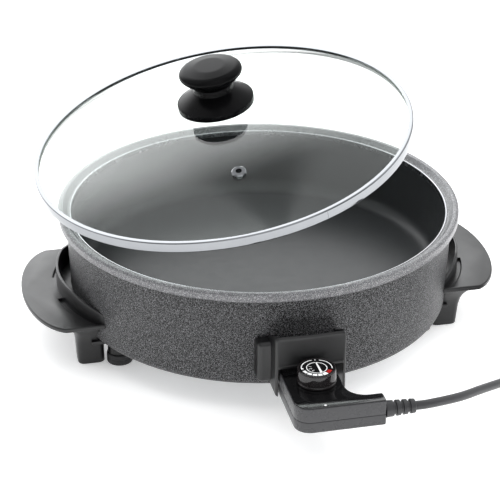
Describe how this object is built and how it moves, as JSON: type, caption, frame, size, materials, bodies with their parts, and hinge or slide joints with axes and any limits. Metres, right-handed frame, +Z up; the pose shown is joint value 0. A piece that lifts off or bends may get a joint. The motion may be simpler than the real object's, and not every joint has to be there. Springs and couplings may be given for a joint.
{
  "type": "electric griddle",
  "caption": "Round electric griddle pan on feet with ear handles, a domed glass cover with a steel band and knob, and a plug-in temperature control on a cord.",
  "frame": {"origin": "on the floor under the middle of the appliance's footprint, its cord, coil and plug left out", "axes": "+Z up along the pan's vertical axis; the control plugs in at -Y (the front), the two handles stand out along +X and -X, +X is the side the cord leaves to"},
  "size_m": [0.5785, 0.4658, 0.2653],
  "materials": {
    "cast_aluminium": "dark granite-look coating on cast aluminium",
    "plated_steel": "zinc-plated sheet and sheath steel",
    "polished_steel": "polished stainless steel",
    "nickel_plate": "nickel-plated pins and screws",
    "brass": "plain brass",
    "ceramic": null,
    "black_bakelite": "satin black thermoset moulding",
    "black_rubber": "soft black moulding",
    "silicone": "translucent silicone rubber",
    "cover_glass": "clear tempered glass",
    "control_case": "satin black moulding",
    "glossy_black": "glossy black plate with plain printed marks",
    "smoked_dial": "smoked translucent moulding",
    "lamp_glass": "neon pilot lamp",
    "cord_black": "round PVC-sheathed cord",
    "tie_strap": "woven strap"
  },
  "bodies": {
    "pan": {"pan_body": "cast_aluminium", "base_plate": "plated_steel", "heating_element": "plated_steel", "element_clip_1": "plated_steel", "element_clip_2": "plated_steel", "element_clip_3": "plated_steel", "terminal_pin_left": "nickel_plate", "terminal_pin_right": "nickel_plate", "terminal_bush_left": "ceramic", "terminal_bush_right": "ceramic", "probe_socket": "brass", "foot_front_left": "black_bakelite", "foot_front_right": "black_bakelite", "foot_back_left": "black_bakelite", "foot_back_right": "black_bakelite", "foot_pad_front_left": "black_rubber", "foot_pad_front_right": "black_rubber", "foot_pad_back_left": "black_rubber", "foot_pad_back_right": "black_rubber", "foot_screw_front_left": "nickel_plate", "foot_screw_front_right": "nickel_plate", "foot_screw_back_left": "nickel_plate", "foot_screw_back_right": "nickel_plate", "handle_left": "black_bakelite", "handle_right": "black_bakelite", "probe_guard": "black_bakelite", "guard_screw": "nickel_plate"},
    "cover": {"cover_glass": "cover_glass", "cover_band": "polished_steel", "cover_seal": "silicone", "steam_vent": "polished_steel", "knob_base": "black_bakelite", "knob_cap": "black_bakelite", "knob_seal": "silicone", "knob_washer": "polished_steel", "knob_screw": "polished_steel"},
    "control": {"control_base": "control_case", "control_cover": "control_case", "control_fascia": "glossy_black", "case_screw_1": "nickel_plate", "case_screw_2": "nickel_plate", "probe_rod": "polished_steel", "contact_left": "brass", "contact_right": "brass", "contact_block": "ceramic", "thermostat_switch": "ceramic", "bimetal_strip": "brass", "pilot_lamp": "lamp_glass", "strain_relief": "black_rubber", "power_cord": "cord_black", "cord_coil": "cord_black", "cord_tie": "tie_strap", "plug_body": "black_rubber", "plug_pin_left": "nickel_plate", "plug_pin_right": "nickel_plate"},
    "dial": {"dial": "smoked_dial", "dial_disc": "glossy_black", "dial_shaft": "nickel_plate"}
  },
  "joints": [
    {"name": "cover_swing", "type": "hinge", "parent": "pan", "child": "cover", "pos_m": [-0.2792, -0.11505, 0.0511], "axis": [0.358, -0.8479, 0.391], "range_deg": [-11.86, 45]},
    {"name": "control_slide", "type": "slide", "parent": "pan", "child": "control", "axis": [0, -1, 0], "range_m": [0, 0.1]},
    {"name": "dial_turn", "type": "hinge", "parent": "control", "child": "dial", "pos_m": [0, -0.18925, 0.0585], "axis": [0, 0, 1], "range_deg": [0, 270]}
  ]
}
